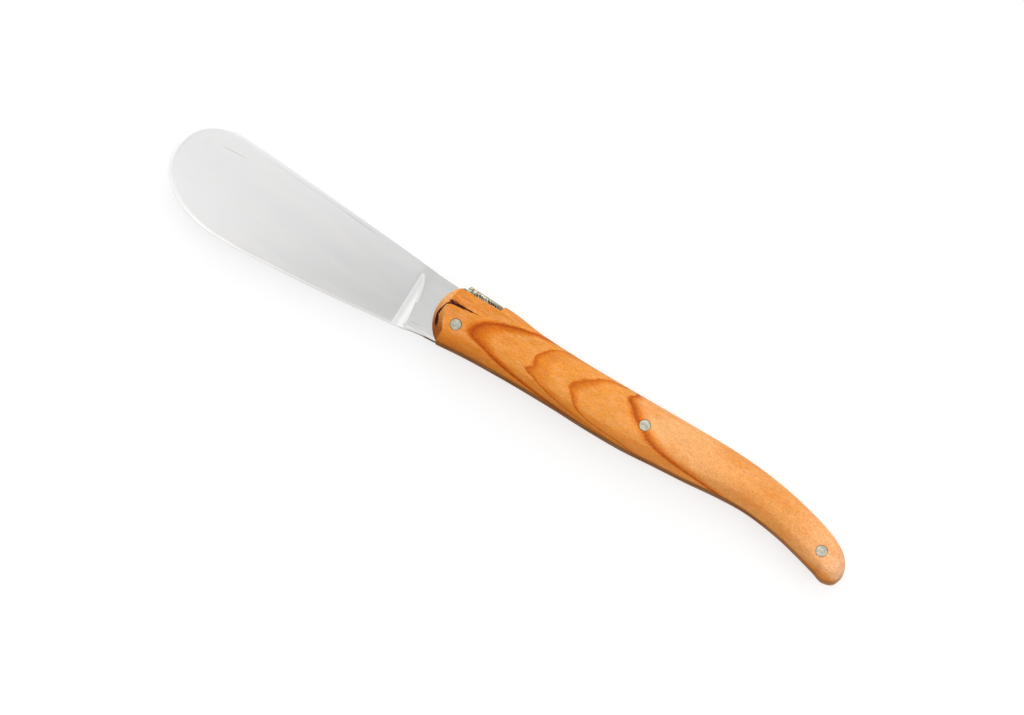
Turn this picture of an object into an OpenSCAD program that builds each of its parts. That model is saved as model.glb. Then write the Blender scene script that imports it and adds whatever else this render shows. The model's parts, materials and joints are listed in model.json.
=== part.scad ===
// Butter knife lying on its side, in millimetres.
// The blade points to -X, the handle to +X, the knife's back to +Y and its belly to -Y.
// The lower scale's flat face lies on Z = 0. Shapes are drawn from the tip of the blade along
// X and from the base line, a straight line through the knife's length, in Y.

/* [Blade] */
// Length from the tip of the blade to the foremost point of the wooden handle
blade_l = 69.5; // [60:0.1:85]
// Depth of the blade's belly below the base line
blade_drop = 11.9; // [9:0.1:14]
// Height of the blade's spine above the base line, behind the tip
blade_rise = 10.65; // [9:0.05:13]
// Height of the tip's foremost point above the base line
tip_rise = 0.7; // [-2:0.1:3]
// Length over which the round tip turns into the spine
tip_spine_l = 11; // [8:0.5:16]
// Length over which the round tip turns into the belly
tip_belly_l = 18; // [10:0.5:24]
// Thickness of the spine at the tip
tip_t = 1.1; // [0.9:0.1:2]
// Thickness of the ground face along the edge
edge_t = 0.7; // [0.5:0.05:1]
// Width of the rounded rim round the tip and along the edge
rim_w = 1.1; // [0.6:0.1:1.6]
// Depth of the rounded rim
rim_drop = 0.16; // [0.05:0.01:0.2]
// Width of the strip along the spine that is left full thickness
strip_w = 0.8; // [0.4:0.1:1.5]

/* [Plunge] */
// Length of the flat ricasso along the belly, from the flute to the handle's foremost point
ricasso_l = 3.45; // [2:0.05:8]
// Width of the plunge flute at the belly
flute_w = 3.3; // [1.5:0.05:5]
// Width of the plunge flute where it runs out near the spine
flute_top_w = 0.4; // [0.2:0.05:1]
// Distance by which the flute's top leans towards the tip
flute_lean = 0.4; // [0:0.1:3]
// Width of the chamfer along the ricasso's belly
chamfer_w = 0.8; // [0.4:0.1:1.2]
// Depth of the chamfer along the ricasso's belly
chamfer_drop = 0.35; // [0.1:0.05:0.6]

/* [Tang] */
// Thickness of the steel in the ricasso and the tang
tang_t = 2.5; // [2:0.1:3.5]
// Width of the band beside the tang's edges
tang_band_w = 0.6; // [0.4:0.1:1]
// Depth by which the tang's edges are broken
tang_break = 0.1; // [0.05:0.05:0.2]

/* [Handle] */
// Length of the handle
handle_l = 109.8; // [95:0.1:130]
// Depth of the handle's belly below the base line, at the head
handle_drop = 4.8; // [4:0.05:6]
// Height of the handle's back above the base line, at its highest
handle_rise = 11.3; // [10:0.1:13]
// Distance by which the arc of the head stands out in front of its two corners
head_bulge = 3.8; // [2:0.1:5]
// Thickness of each wooden scale
scale_t = 4.5; // [3.5:0.1:6]
// Height of the upright side of a scale, below its bevel
side_h = 1; // [0.6:0.1:1.6]
// Width of the bevel along the handle's belly
belly_bevel_w = 2.2; // [1.4:0.1:2.6]
// Width of the belly's bevel at the head
head_bevel_w = 2.6; // [2:0.1:3.6]
// Width of the bevel round the arc of the head, at the belly
front_bevel_w = 2.25; // [1.2:0.05:2.6]
// Width of the bevel round the arc of the head, at the back
front_top_bevel_w = 1; // [0.6:0.05:2]
// Distance by which the face's front arc stands out in front of its two corners
face_bulge = 1.2; // [0.6:0.1:2.4]
// Width of the bevel along the handle's back
back_bevel_w = 1.9; // [1.4:0.1:2.4]
// Width of the bevel round the end of the tail
tail_bevel_w = 1.4; // [0.8:0.1:1.6]

/* [Pins] */
// Diameter of the pins
pin_d = 2.65; // [2:0.05:3]
// Gap between a pin and its hole, all round
pin_fit = 0.02; // [0.01:0.01:0.05]
// Distance by which a pin's ends lie below the scales' faces
pin_set = 0.04; // [0.02:0.01:0.2]

/* [Spine ornament] */
// Length of the ornament
ornament_l = 10.6; // [9:0.1:12]
// Width of the ornament across the knife's back
ornament_w = 5; // [3.5:0.1:6]
// Height of the ornament's front knob above its seat
ornament_h = 2.3; // [1.4:0.1:2.6]
// Distance from the handle's foremost point back to the front of the ornament's seat
seat_x = 2.3; // [1.5:0.1:4]
// Gap at each end of the ornament
seat_gap = 0.05; // [0.02:0.01:0.2]
// Slant of the wooden step behind the ornament
step_slant = 0.35; // [0:0.05:1]

/* [Hidden] */

// Overrun of every cut
over = 1;
// Fullness of the round tip, where 2 is an ellipse
tip_fullness = 2.1;
// Angle through which the plunge flute sweeps
flute_sweep = 60;
// Steps round a quarter of the tip, along the blade, across the flute and along the ricasso
tip_steps = 20;
body_steps = 14;
flute_steps = 8;
ricasso_steps = 4;
// Steps between two points of an outline, and round the arc of the head
side_steps = 4;
head_steps = 20;
// Facets of the pins and their holes
pin_facets = 64;

overall_l = blade_l + handle_l;
handle_t = tang_t + 2 * scale_t;
half_t = tang_t / 2;
bevel_h = scale_t - side_h;
grind_l = blade_l - ricasso_l - flute_w;
pin_r = pin_d / 2;

// The belly line of the blade, as shares of the way from the tip to the flute and of its depth
belly_shares = [[0, 1], [0.155, 0.979], [0.265, 0.932], [0.486, 0.843], [0.707, 0.731],
                [0.884, 0.634], [1, 0.567]];
// The depths of the ricasso's belly, at the flute, in its middle and at the handle
ricasso_drop_shares = [0.503, 0.472, 0.437];
// The place of the ricasso's middle depth, along the ricasso
ricasso_bend_share = 0.35;
// The spine line, as shares of the way from the tip's end to the seat and of its height
spine_shares = [[0, 1], [0.148, 0.986], [0.3125, 0.96], [0.477, 0.928], [0.641, 0.895],
                [0.806, 0.847], [0.888, 0.82], [1, 0.803]];
// The handle's belly line, as shares of the handle's length and of its depth at the head
handle_belly_shares = [[0.0382, 0.99], [0.0932, 0.833], [0.1845, 0.675], [0.2941, 0.571],
                       [0.4128, 0.527], [0.4767, 0.448], [0.5498, 0.254], [0.6228, 0.071],
                       [0.6959, -0.156], [0.7553, -0.258], [0.81, -0.192], [0.8603, -0.04],
                       [0.9059, 0.175], [0.9425, 0.365], [0.9726, 0.521], [0.9927, 0.333],
                       [1, -0.104]];
// The handle's back line from the tail to the head, as shares of its length and height
handle_back_shares = [[0.9963, 0.265], [0.9808, 0.438], [0.9562, 0.584], [0.9196, 0.708],
                      [0.874, 0.814], [0.8192, 0.91], [0.7553, 0.976], [0.6776, 1],
                      [0.5954, 0.9735], [0.5132, 0.937], [0.4219, 0.892], [0.3123, 0.852],
                      [0.2119, 0.854], [0.1342, 0.914], [0.084, 0.892], [0.0318, 0.858]];
// The bevel's section, as shares of its height and of its width
bevel_shares = [[0, 0], [0.12, 0.03], [0.5, 0.4], [0.87, 0.83], [1, 1]];
// The share of the handle's length over which the belly's bevel narrows from the head
bevel_fade_share = 0.25;
// The share of the handle's length over which both bevels narrow to the end of the tail
tail_fade_share = 0.1;
// The rows of points across the blade's faces, as shares of the way from belly to spine
row_shares = [0, 0.24, 0.46, 0.64, 0.78, 0.88, 0.94, 1];
// The height at which the plunge flute runs out, as a share of the way from belly to spine
flute_top_share = 0.945;
// The rim's, the strip's, the chamfer's and the tang band's inner line, as shares of their widths
rim_share = 0.35;
strip_share = 0.15;
chamfer_share = 0.5;
band_share = 0.2;
// The pins' places, as shares of the handle's length and of its height there
pin_shares = [[0.0568, 0.334], [0.4961, 0.514], [0.9425, 0.456]];
// The heights of the ornament's seat at its front and rear, as shares of the handle's height
seat_shares = [0.7035, 0.752];
// The ornament, as shares of its length, of half its width and of its knob's height
ornament_shares = [[0, 0.25, 0.46], [0.08, 0.34, 0.5], [0.105, 0.55, 0.72], [0.13, 0.66, 0.94],
                   [0.17, 0.7, 1], [0.215, 0.6, 0.96], [0.245, 0.42, 0.84], [0.28, 0.5, 0.88],
                   [0.35, 0.78, 0.93], [0.45, 0.96, 0.93], [0.55, 1, 0.91], [0.66, 0.92, 0.88],
                   [0.78, 0.72, 0.87], [0.9, 0.48, 0.89], [1, 0.3, 0.9]];
// The ornament's crown, as shares of half its width and of its height
crown_shares = [[1, 0], [1, 0.5], [0.8, 0.82], [0.35, 1], [-0.35, 1], [-0.8, 0.82], [-1, 0.5],
                [-1, 0]];

// A value part of the way between two others
function between(a, b, share) = a + (b - a) * share;

// A smooth curve through points, with its direction at each point set by its two neighbours
function chord(p, i) = norm(p[i + 1] - p[i]);
function heading(p, i) =
    let (last = len(p) - 1)
    i == 0 ? (p[1] - p[0]) / chord(p, 0)
    : i == last ? (p[last] - p[last - 1]) / chord(p, last - 1)
    : let (a = chord(p, i - 1), b = chord(p, i))
      ((p[i] - p[i - 1]) * b / a + (p[i + 1] - p[i]) * a / b) / (a + b);
function blend_point(a, b, out, into, t) =
    a * (2 * pow(t, 3) - 3 * pow(t, 2) + 1) + out * (pow(t, 3) - 2 * pow(t, 2) + t)
    + b * (3 * pow(t, 2) - 2 * pow(t, 3)) + into * (pow(t, 3) - pow(t, 2));
function curve(p, steps) =
    [for (i = [0:len(p) - 2])
         let (d = chord(p, i))
         for (k = [0:steps - 1])
             blend_point(p[i], p[i + 1], heading(p, i) * d, heading(p, i + 1) * d, k / steps),
     p[len(p) - 1]];

// The points between two ends of an arc that stands out by a given distance to the left
function arc_between(a, b, bulge, steps) =
    let (
        c = norm(b - a),
        r = (c * c / 4 + bulge * bulge) / (2 * bulge),
        along = (b - a) / c,
        out = [-along[1], along[0]],
        centre = (a + b) / 2 - out * (r - bulge),
        half = asin(c / 2 / r)
    )
    [for (k = [1:steps - 1])
         let (angle = between(-half, half, k / steps))
         centre + r * (along * sin(angle) + out * cos(angle))];

// The inward steps that move each edge of a closed outline by its own width
function edge_normal(a, b) = [a[1] - b[1], b[0] - a[0]] / norm(b - a);
function inset_step(n1, n2, w1, w2) =
    let (bend = n1[0] * n2[1] - n1[1] * n2[0])
    abs(bend) < sin(15)
    ? (n1 + n2) / (1 + n1 * n2) * (w1 + w2) / 2
    : [w1 * n2[1] - w2 * n1[1], w2 * n1[0] - w1 * n2[0]] / bend;
function inset_steps(p, edge_w) =
    let (n = len(p))
    [for (i = [0:n - 1])
         let (before = (i + n - 1) % n, after = (i + 1) % n)
         inset_step(edge_normal(p[before], p[i]), edge_normal(p[i], p[after]), edge_w[before],
                    edge_w[i])];

// The triangles between two rows of points, seen from above with row a at the belly
function strip_faces(a, b) =
    [for (i = [0:len(a) - 2])
         for (f = [[a[i], a[i + 1], b[i + 1]], [a[i], b[i + 1], b[i]]])
             if (f[0] != f[1] && f[1] != f[2] && f[2] != f[0]) f];
function turned(faces) = [for (f = faces) [f[2], f[1], f[0]]];
function moved(faces, by) = [for (f = faces) [for (i = f) i + by]];
// The walls of a stack of rings of n points each
function wall_faces(rings, n) =
    [for (r = [0:rings - 2])
         for (i = [0:n - 1])
             let (j = (i + 1) % n)
             for (f = [[i, i + n, j + n], [i, j + n, j]]) [for (k = f) k + r * n]];

// A solid of stacked rings, closed below and above by the faces of a cap. Points of a cap that
// lie inside its ring come after the rings' points, the lower cap's first.
module stack(rings, cap, lower_points = [], upper_points = []) {
    n = len(rings[0]);
    first = len(rings) * n;
    top = first - n;
    extra = len(lower_points);
    function placed_cap(ring_start, inner_start) =
        [for (f = cap) [for (i = f) i < n ? i + ring_start : i - n + inner_start]];
    polyhedron(
        points = concat([for (r = rings) for (p = r) p], lower_points, upper_points),
        faces = concat(placed_cap(0, first), wall_faces(len(rings), n),
                       turned(placed_cap(top, first + extra))),
        convexity = 8);
}

// The knife's box is centred on X = 0 and Y = 0
module placed() {
    translate([-overall_l / 2, (blade_drop - handle_rise) / 2, 0]) children();
}

// The front end of the ornament's seat
seat_front_x = blade_l + seat_x;

// The blade's outline
belly_line = curve(concat(
    [for (s = belly_shares)
         [between(tip_belly_l, grind_l, s[0]), -s[1] * blade_drop]],
    [[grind_l + flute_w, -ricasso_drop_shares[0] * blade_drop],
     [between(grind_l + flute_w, blade_l, ricasso_bend_share), -ricasso_drop_shares[1] * blade_drop],
     [blade_l, -ricasso_drop_shares[2] * blade_drop]]), side_steps);
spine_line = curve(
    [for (s = spine_shares) [between(tip_spine_l, seat_front_x, s[0]), s[1] * blade_rise]],
    side_steps);
function round_off(x, l) = pow(1 - pow(max(0, 1 - x / l), tip_fullness), 1 / tip_fullness);
function belly_y(x) =
    x < tip_belly_l ? between(tip_rise, -blade_drop, round_off(x, tip_belly_l))
    : lookup(x, belly_line);
function spine_y(x) =
    x < tip_spine_l ? between(tip_rise, blade_rise, round_off(x, tip_spine_l))
    : lookup(x, spine_line);

// Half the thickness of the spine, and of the wedge that is ground from it down to the edge
function spine_half(x) = between(tip_t / 2, half_t, min(1, x / (grind_l - flute_lean)));
function wedge_half(x, y) =
    let (low = lookup(x, belly_line), high = lookup(x, spine_line))
    between(edge_t / 2, spine_half(x), (y - low) / (high - low));

// One point of the steel's outline holds x, y, half thickness, rim width, rim depth, the inner
// line's share of the width and its share of the depth. A round edge falls as a square of the
// way out, and a chamfer falls evenly.
function round_share(share) = pow(1 - share, 2);
function belly_point(x) =
    [x, belly_y(x), wedge_half(x, belly_y(x)), rim_w, rim_drop, rim_share, round_share(rim_share)];
function spine_point(x) =
    let (turn = pow(min(1, x / tip_spine_l), 3))
    [x, spine_y(x), wedge_half(x, spine_y(x)), between(rim_w, strip_w, turn),
     between(rim_drop, tang_break, turn), between(rim_share, strip_share, turn),
     between(round_share(rim_share), round_share(strip_share), turn)];
function flute_point(share) =
    let (
        x = grind_l + flute_w * share,
        fill = (1 - cos(flute_sweep * share)) / (1 - cos(flute_sweep))
    )
    [x, belly_y(x), between(edge_t / 2, half_t, fill), between(rim_w, chamfer_w, share),
     between(rim_drop, chamfer_drop, share), between(rim_share, chamfer_share, share),
     between(round_share(rim_share), 1 - chamfer_share, share)];
function ricasso_point(share) =
    let (x = between(grind_l + flute_w, blade_l, share))
    [x, belly_y(x), half_t, chamfer_w, chamfer_drop, chamfer_share, 1 - chamfer_share];
function tang_point(p) =
    [p[0], p[1], half_t, tang_band_w, tang_break, band_share, round_share(band_share)];

body_end = grind_l - flute_lean;
blade_belly = concat(
    [for (i = [0:tip_steps]) belly_point(tip_belly_l * (1 - cos(90 * i / tip_steps)))],
    [for (i = [1:body_steps]) belly_point(between(tip_belly_l, grind_l, i / body_steps))],
    [for (i = [1:flute_steps]) flute_point(i / flute_steps)],
    [for (i = [1:ricasso_steps]) ricasso_point(i / ricasso_steps)]);
blade_spine = concat(
    [for (i = [1:tip_steps]) spine_point(tip_belly_l * (1 - cos(90 * i / tip_steps)))],
    [for (i = [1:body_steps]) spine_point(between(tip_belly_l, body_end, i / body_steps))],
    [for (i = [1:flute_steps]) spine_point(body_end + flute_top_w * i / flute_steps)],
    [for (i = [1:ricasso_steps])
         spine_point(between(body_end + flute_top_w, seat_front_x, i / ricasso_steps))]);

// How far the flute's crisp edge bows out past a straight line, at a share of the way up.
// The wheel's round rim cuts as wide as the root of the depth that it has left to cut.
function flute_bow(share) =
    max(flute_top_w, flute_w * sqrt(max(0, 1 - share / flute_top_share)))
    - between(flute_w, flute_top_w, share);
// How much of the bow each pair of points across the steel takes
flute_start = tip_steps + body_steps;
function bow_weight(i) =
    i <= flute_start ? 0
    : i <= flute_start + flute_steps ? (i - flute_start) / flute_steps
    : max(0, 1 - (i - flute_start - flute_steps) / ricasso_steps);

// The handle's outline, from the head's belly corner round the tail to the head's back corner
function handle_point(s, height) = [blade_l + s[0] * handle_l, s[1] * height];
side_line = curve(concat(
    [for (s = handle_belly_shares) handle_point(s, -handle_drop)],
    [for (s = handle_back_shares) handle_point(s, handle_rise)]), side_steps);
side_n = len(side_line);
tail_i = (side_n - 1) / 2;
head_arc = arc_between(side_line[side_n - 1], side_line[0], -head_bulge, head_steps);
handle_line = concat(side_line, head_arc);
function handle_belly_y(x) = lookup(x, [for (i = [0:tail_i]) side_line[i]]);
function handle_back_y(x) = lookup(x, [for (i = [0:tail_i]) side_line[side_n - 1 - i]]);

// The seat of the ornament, a floor that rises a little from its front to its rear
seat_l = ornament_l + 2 * seat_gap;
seat_front = [seat_front_x, seat_shares[0] * handle_rise];
seat_rear = [seat_front_x + seat_l, seat_shares[1] * handle_rise];
seat_slope = (seat_rear[1] - seat_front[1]) / seat_l;
function seat_y(x) = seat_front[1] + (x - seat_front[0]) * seat_slope;

// A cut above the seat, all through the knife, whose front wall stands at the given place
module seat_cut(front_x) {
    top = handle_rise + over;
    translate([0, 0, -over])
        linear_extrude(handle_t + 2 * over)
            polygon([[front_x, seat_y(front_x)], seat_rear, [seat_rear[0] + step_slant, top],
                     [front_x, top]]);
}

// Where a pin stands
function pin_place(s) =
    let (x = blade_l + s[0] * handle_l)
    [x, between(handle_belly_y(x), handle_back_y(x), s[1]), 0];

// The holes for all three pins
module pin_holes() {
    for (s = pin_shares)
        translate(pin_place(s) - [0, 0, over])
            cylinder(r = pin_r + pin_fit, h = handle_t + 2 * over, $fn = pin_facets);
}

// One piece of steel, with a wedge ground blade, a plunge flute, a flat ricasso and a full tang
module blade_and_tang() {
    outline = concat(
        blade_belly, [for (p = side_line) tang_point(p)],
        [for (i = [0:len(blade_spine) - 1]) blade_spine[len(blade_spine) - 1 - i]]);
    n = len(outline);
    half_n = n / 2;
    rows = len(row_shares) - 1;
    steps = inset_steps([for (p = outline) [p[0], p[1]]],
                        [for (i = [0:n - 1]) (outline[i][3] + outline[(i + 1) % n][3]) / 2]);
    function ring(side, depth) =
        [for (i = [0:n - 1])
             let (
                 p = outline[i],
                 inward = [0, p[5], 1][depth],
                 z = scale_t + half_t + side * (p[2] - p[4] * [1, p[6], 0][depth])
             )
             [p[0] + steps[i][0] * inward, p[1] + steps[i][1] * inward, z]];
    function inner_points(rim) =
        [for (i = [1:half_n - 1])
             for (r = [1:rows - 1])
                 between(rim[i], rim[n - i], row_shares[r])
                 + [flute_bow(row_shares[r]) * bow_weight(i), 0, 0]];
    function place(i, r) = r == 0 ? i : r == rows ? n - i : n + (i - 1) * (rows - 1) + r - 1;
    cap = concat(
        [for (r = [0:rows - 1]) [0, place(1, r), place(1, r + 1)]],
        [for (i = [1:half_n - 2])
             for (r = [0:rows - 1])
                 for (f = [[place(i, r), place(i + 1, r), place(i + 1, r + 1)],
                           [place(i, r), place(i + 1, r + 1), place(i, r + 1)]]) f],
        [for (r = [0:rows - 1]) [place(half_n - 1, r), half_n, place(half_n - 1, r + 1)]]);
    color([0.82, 0.83, 0.84])
        placed()
            difference() {
                stack([ring(-1, 2), ring(-1, 1), ring(-1, 0), ring(1, 0), ring(1, 1), ring(1, 2)],
                      cap, inner_points(ring(-1, 2)), inner_points(ring(1, 2)));
                seat_cut(seat_front_x);
                pin_holes();
            }
}

// A wooden scale with its inner face on Z = 0 and its outer face up
module scale_body() {
    function along(i) = (side_line[i][0] - blade_l) / handle_l;
    function side_bevel_w(i) =
        let (
            tail = max(0, min(1, (1 - along(i)) / tail_fade_share)),
            head = min(1, along(i) / bevel_fade_share)
        )
        between(tail_bevel_w, i < tail_i ? between(head_bevel_w, belly_bevel_w, head)
                                         : back_bevel_w, sqrt(tail));
    function front_w(i) = i == side_n - 1 ? front_top_bevel_w : front_bevel_w;
    edge_w = [for (i = [0:len(handle_line) - 1]) i < side_n - 1 ? side_bevel_w(i) : front_w(i)];
    steps = inset_steps(handle_line, edge_w);
    function outline(share) =
        let (side = [for (i = [0:side_n - 1]) side_line[i] + steps[i] * share])
        concat(side, arc_between(side[side_n - 1], side[0],
                                 -between(head_bulge, face_bulge, share), head_steps));
    function ring(z, share) = [for (p = outline(share)) [p[0], p[1], z]];
    ribbon = strip_faces([for (i = [0:tail_i]) i], [for (i = [0:tail_i]) side_n - 1 - i]);
    front = [for (i = [side_n - 1:len(handle_line) - 2]) [0, i, i + 1]];
    stack(concat([ring(0, 0)], [for (s = bevel_shares) ring(side_h + s[0] * bevel_h, s[1])]),
          concat(ribbon, front));
}

// The wooden scale on the upper side
module upper_scale() {
    color([0.91, 0.62, 0.34])
        placed()
            difference() {
                translate([0, 0, scale_t + tang_t]) scale_body();
                seat_cut(blade_l - over);
                pin_holes();
            }
}

// The wooden scale on the lower side, whose flat face is what the knife rests on
module lower_scale() {
    color([0.87, 0.58, 0.31])
        placed()
            difference() {
                translate([0, 0, scale_t]) mirror([0, 0, 1]) scale_body();
                seat_cut(blade_l - over);
                pin_holes();
            }
}

// The metal ornament on the back, a small knob in front of a leaf with a crowned top
module spine_ornament() {
    n = len(crown_shares);
    last = len(ornament_shares) - 1;
    points = [for (s = ornament_shares)
                  let (x = seat_front[0] + seat_gap + s[0] * ornament_l)
                  for (c = crown_shares)
                      [x, seat_y(x) + c[1] * s[2] * ornament_h,
                       handle_t / 2 + c[0] * s[1] * ornament_w / 2]];
    end_cap = [for (i = [1:n - 2]) [0, i, i + 1]];
    color([0.72, 0.72, 0.68])
        placed()
            polyhedron(
                points = points,
                faces = concat(end_cap, wall_faces(last + 1, n), moved(turned(end_cap), last * n)),
                convexity = 8);
}

// A solid pin through both scales and the tang
module pin(s) {
    color([0.76, 0.76, 0.72])
        placed()
            translate(pin_place(s) + [0, 0, pin_set])
                cylinder(r = pin_r, h = handle_t - 2 * pin_set, $fn = pin_facets);
}
module head_pin() { pin(pin_shares[0]); }
module middle_pin() { pin(pin_shares[1]); }
module tail_pin() { pin(pin_shares[2]); }

blade_and_tang();
spine_ornament();
upper_scale();
lower_scale();
head_pin();
middle_pin();
tail_pin();
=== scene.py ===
import json
import math

import bmesh
import bpy
import numpy as np
from mathutils import Matrix, Vector

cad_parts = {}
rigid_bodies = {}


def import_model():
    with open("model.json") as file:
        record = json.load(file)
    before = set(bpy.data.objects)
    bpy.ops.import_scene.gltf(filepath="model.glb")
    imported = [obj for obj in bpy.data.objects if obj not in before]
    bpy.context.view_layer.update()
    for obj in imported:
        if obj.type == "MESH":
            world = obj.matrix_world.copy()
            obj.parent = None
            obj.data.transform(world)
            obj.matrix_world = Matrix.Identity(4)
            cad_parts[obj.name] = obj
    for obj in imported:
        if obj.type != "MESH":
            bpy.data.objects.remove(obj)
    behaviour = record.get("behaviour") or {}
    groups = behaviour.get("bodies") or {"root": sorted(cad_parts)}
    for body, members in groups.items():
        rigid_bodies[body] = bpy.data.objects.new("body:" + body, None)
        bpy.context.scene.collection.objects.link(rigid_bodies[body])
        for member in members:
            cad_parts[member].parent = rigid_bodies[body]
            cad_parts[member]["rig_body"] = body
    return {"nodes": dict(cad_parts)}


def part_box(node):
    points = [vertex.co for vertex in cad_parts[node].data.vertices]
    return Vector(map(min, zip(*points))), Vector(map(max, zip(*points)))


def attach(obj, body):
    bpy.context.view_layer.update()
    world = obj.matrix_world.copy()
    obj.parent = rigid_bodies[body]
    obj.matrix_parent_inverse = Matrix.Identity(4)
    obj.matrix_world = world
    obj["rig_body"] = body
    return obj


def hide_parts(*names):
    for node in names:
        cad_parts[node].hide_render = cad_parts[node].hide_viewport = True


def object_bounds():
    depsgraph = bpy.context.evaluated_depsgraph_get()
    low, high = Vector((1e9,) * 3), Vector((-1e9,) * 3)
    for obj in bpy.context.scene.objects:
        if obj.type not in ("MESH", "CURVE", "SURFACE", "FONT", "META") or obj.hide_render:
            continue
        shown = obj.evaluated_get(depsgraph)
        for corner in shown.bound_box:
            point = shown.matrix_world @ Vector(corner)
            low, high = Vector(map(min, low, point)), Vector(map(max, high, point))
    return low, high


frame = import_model()
cad_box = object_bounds()
scene = bpy.context.scene
scene.view_settings.view_transform = "Standard"

# Camera: it looks down at the knife from 79 degrees above the table and is turned so that the
# knife runs across the picture from the upper left to the lower right, as it was photographed.
# A very long lens stands far back, so that the knife keeps its true outline.
view_azimuth, view_elevation = math.radians(33.45), math.radians(79)
view_centre = Vector((0.00022, 0.00217, 0.00575))
picture_width, view_depth = 0.2306, 20
lens, sensor = 1200, 36
back = Vector((math.sin(view_azimuth) * math.cos(view_elevation),
               -math.cos(view_azimuth) * math.cos(view_elevation), math.sin(view_elevation)))
right = Vector((math.cos(view_azimuth), math.sin(view_azimuth), 0))


def put(name, data):
    """A new object in the scene, with its data."""
    made = bpy.data.objects.new(name, data)
    scene.collection.objects.link(made)
    return made


camera_data = bpy.data.cameras.new("camera")
camera_data.lens = lens
camera_data.sensor_width = sensor
camera_data.clip_end = view_depth
camera = put("camera", camera_data)
camera.matrix_world = (Matrix.Translation(view_centre + back * picture_width * lens / sensor)
                       @ Matrix((right, back.cross(right), back)).transposed().to_4x4())
scene.camera = camera

# Floor and light: a plain white table in a light tent, brighter on the side of the knife's back.
# Soft boxes above and past the tip of the blade show in the steel and its flute. Two strips in
# front light the belly's rim and bevels, one box behind the back, and a small one the tail.
bright_side = Vector((-0.5, 0.75, 0.4)).normalized()
tent_stops = [(0, 0.5), (0.4, 0.65), (0.7, 0.75), (0.79, 0.76), (0.88, 0.88), (0.95, 1.32),
              (1, 1.6)]
skyline = 0.04
floor_half, floor_depth = 3.0, 0.00002
floor_grey, floor_glow = (0.38, 0.38, 0.38, 1), 0.65
# The place, aim, size and radiance of each soft box.
soft_boxes = {
    "tip_box": ((-0.205, 0.15, 0.9), (-0.205, 0.15, 0), (0.1, 0.9), 0.56),
    "side_box": ((-0.39, 0.15, 0.9), (-0.39, 0.15, 0), (0.27, 0.9), 0.33),
    "flute_box": ((-0.97, 0.15, 0.9), (-0.97, 0.15, 0), (0.9, 0.9), 0.39),
    "core_box": ((-0.87, 0.15, 0.91), (-0.87, 0.15, 0), (0.38, 0.9), 0.18),
    "front_strip": ((-0.2, -0.5, 0.87), (0, 0, 0), (1.2, 0.36), 0.42),
    "rim_strip": ((-0.12, -0.2, 0.9), (-0.12, -0.2, 0), (0.34, 0.22), 0.3),
    "back_box": ((-0.3, 1.1, 0.55), (0, 0, 0), (0.8, 0.6), 1.85),
    "tail_box": ((0.27, 0.0, 0.21), (0.08, 0, 0), (0.16, 0.16), 2.9)}


def fill(tree, made, sockets):
    """Gives each named socket of a node a fixed value, or joins it to another node's output."""
    for name, value in dict(sockets).items():
        if isinstance(value, bpy.types.NodeSocket):
            tree.links.new(value, made.inputs[name])
        else:
            made.inputs[name].default_value = value


def node(tree, kind, sockets=(), **settings):
    """A new node of a kind, with its settings and what goes into its named sockets."""
    made = tree.nodes.new(kind)
    for name, value in settings.items():
        setattr(made, name, value)
    fill(tree, made, sockets)
    return made


def mix(tree, factor, first, second, blend="MIX"):
    """The mix of two colours."""
    return node(tree, "ShaderNodeMix", {0: factor, 6: first, 7: second}, data_type="RGBA",
                blend_type=blend).outputs[2]


def calc(tree, operation, first, second=0.0):
    """A sum, product or other result of two numbers."""
    return node(tree, "ShaderNodeMath", {0: first, 1: second}, operation=operation).outputs[0]


def vector(tree, operation, first, second):
    """The outputs of a product, difference or other result of two vectors."""
    return node(tree, "ShaderNodeVectorMath", {0: first, 1: second}, operation=operation).outputs


def span(tree, value, low, high, to_low=0.0, to_high=1.0):
    """A number carried from one range to another, and held inside it."""
    return node(tree, "ShaderNodeMapRange", {"Value": value, "From Min": low, "From Max": high,
                                             "To Min": to_low, "To Max": to_high}).outputs[0]


def split(tree, vector):
    """The X, Y and Z of a vector."""
    return tuple(node(tree, "ShaderNodeSeparateXYZ", {0: vector}).outputs)


def paint(*levels):
    """A colour from its three levels as a picture shows them, from 0 to 255."""
    share = np.array(levels) / 255
    return (*np.where(share > 0.04045, ((share + 0.055) / 1.055) ** 2.4, share / 12.92).tolist(), 1)


def ramp(tree, factor, stops):
    """A colour ramp with stops of place and grey level, or of place and a colour's levels."""
    made = node(tree, "ShaderNodeValToRGB", {"Fac": factor})
    elements = made.color_ramp.elements
    while len(elements) < len(stops):
        elements.new(1)
    for element, (place, colour) in zip(elements, stops):
        element.position = place
        element.color = paint(*colour) if isinstance(colour, tuple) else (*[colour] * 3, 1)
    return made.outputs["Color"]


def new_material(name):
    """A new material and its node tree."""
    made = bpy.data.materials.new(name)
    made.use_nodes = True
    return made, made.node_tree


world = bpy.data.worlds.new("light_tent")
scene.world = world
world.use_nodes = True
tree = world.node_tree
tree.nodes.clear()
direction = node(tree, "ShaderNodeTexCoord").outputs["Generated"]
towards = vector(tree, "DOT_PRODUCT", direction, bright_side)["Value"]
tent = ramp(tree, span(tree, towards, -1, 1), tent_stops)
above = span(tree, split(tree, direction)[2], skyline, 3 * skyline)
sky = node(tree, "ShaderNodeBackground", {"Color": mix(tree, above, (1, 1, 1, 1), tent)})
node(tree, "ShaderNodeOutputWorld", {"Surface": sky.outputs[0]})

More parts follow.
